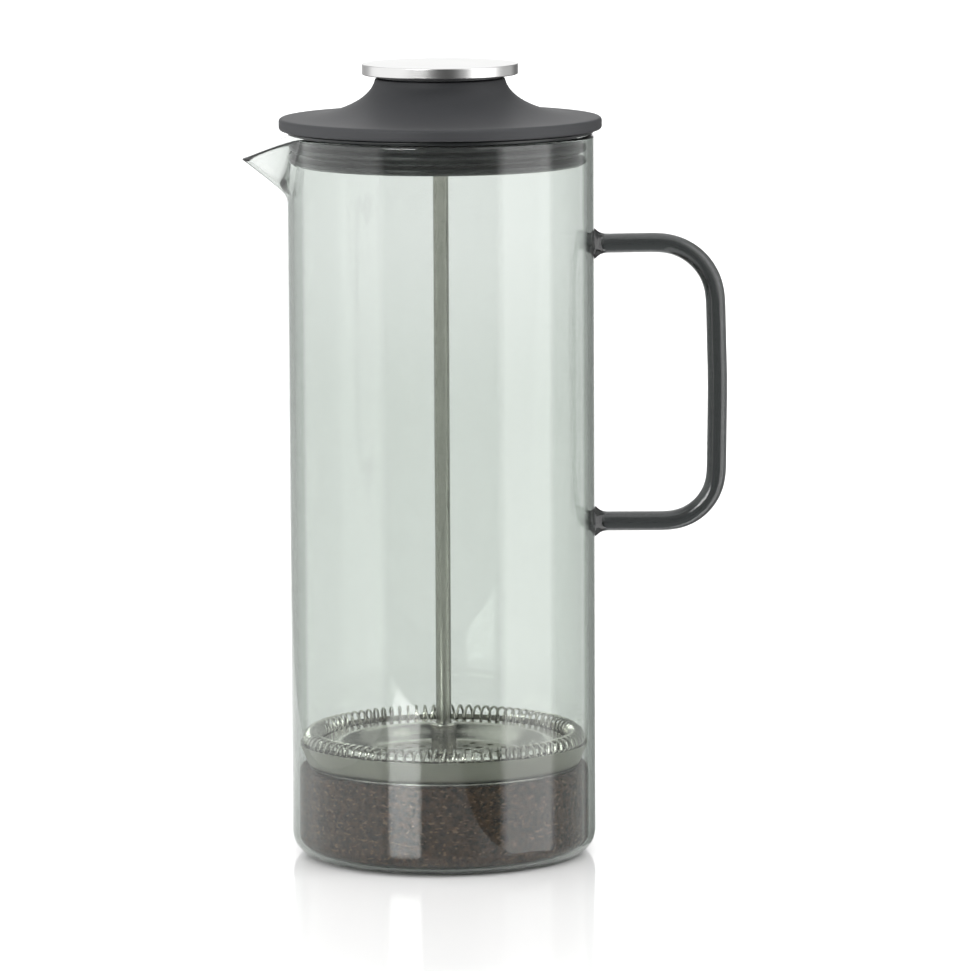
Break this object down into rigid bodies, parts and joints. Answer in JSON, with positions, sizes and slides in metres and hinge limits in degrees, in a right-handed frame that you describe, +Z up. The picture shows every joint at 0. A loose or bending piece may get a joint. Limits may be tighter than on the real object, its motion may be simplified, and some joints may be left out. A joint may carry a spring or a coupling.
{
  "type": "french press",
  "caption": "Tall glass coffee press with a looped glass handle, a pouring spout, a flared plug-in lid and a steel plunger with a sprung-edge mesh filter.",
  "frame": {"origin": "centre of the jug's flat underside, on the jug's axis", "axes": "+Z up along the jug's axis and the plunger; +X towards the handle; -X towards the spout"},
  "size_m": [0.1578, 0.105, 0.2593],
  "materials": {
    "smoked_glass": "clear, lightly tinted grey-green",
    "dark_glass": "clear, deep grey where the rod is thick",
    "lid_plastic": "fine matte",
    "inner_plastic": "satin",
    "seal_rubber": "satin silicone",
    "knob_steel": "fine brushed",
    "rod_steel": "polished",
    "mesh_steel": "woven wire, satin"
  },
  "bodies": {
    "jug": {"jug_glass": "smoked_glass", "jug_handle": "dark_glass"},
    "seal": {"lid_seal": "seal_rubber"},
    "lid": {"lid_cover": "lid_plastic", "lid_insert": "inner_plastic", "rod_bush": "inner_plastic", "rod_seal": "seal_rubber", "bush_clip": "rod_steel"},
    "plunger": {"knob_disc": "knob_steel", "knob_boss": "rod_steel", "knob_pad": "seal_rubber", "plunger_rod": "rod_steel", "filter_hub": "rod_steel"},
    "filter": {"lock_washer": "rod_steel", "spiral_plate": "rod_steel", "edge_coil": "rod_steel", "mesh_screen": "mesh_steel", "mesh_eyelet": "rod_steel", "cross_plate": "rod_steel", "cross_nut": "rod_steel"}
  },
  "joints": [
    {"name": "lid_lift", "type": "slide", "parent": "jug", "child": "seal", "axis": [0, 0, 1], "range_m": [0, 0.23]},
    {"name": "lid_turn", "type": "hinge", "parent": "seal", "child": "lid", "pos_m": [0, 0, 0.24], "axis": [0, 0, 1], "continuous": true},
    {"name": "plunger_slide", "type": "slide", "parent": "lid", "child": "plunger", "axis": [0, 0, 1], "range_m": [0, 0.182]},
    {"name": "filter_turn", "type": "hinge", "parent": "plunger", "child": "filter", "pos_m": [0, 0, 0.035], "axis": [0, 0, 1], "continuous": true}
  ]
}
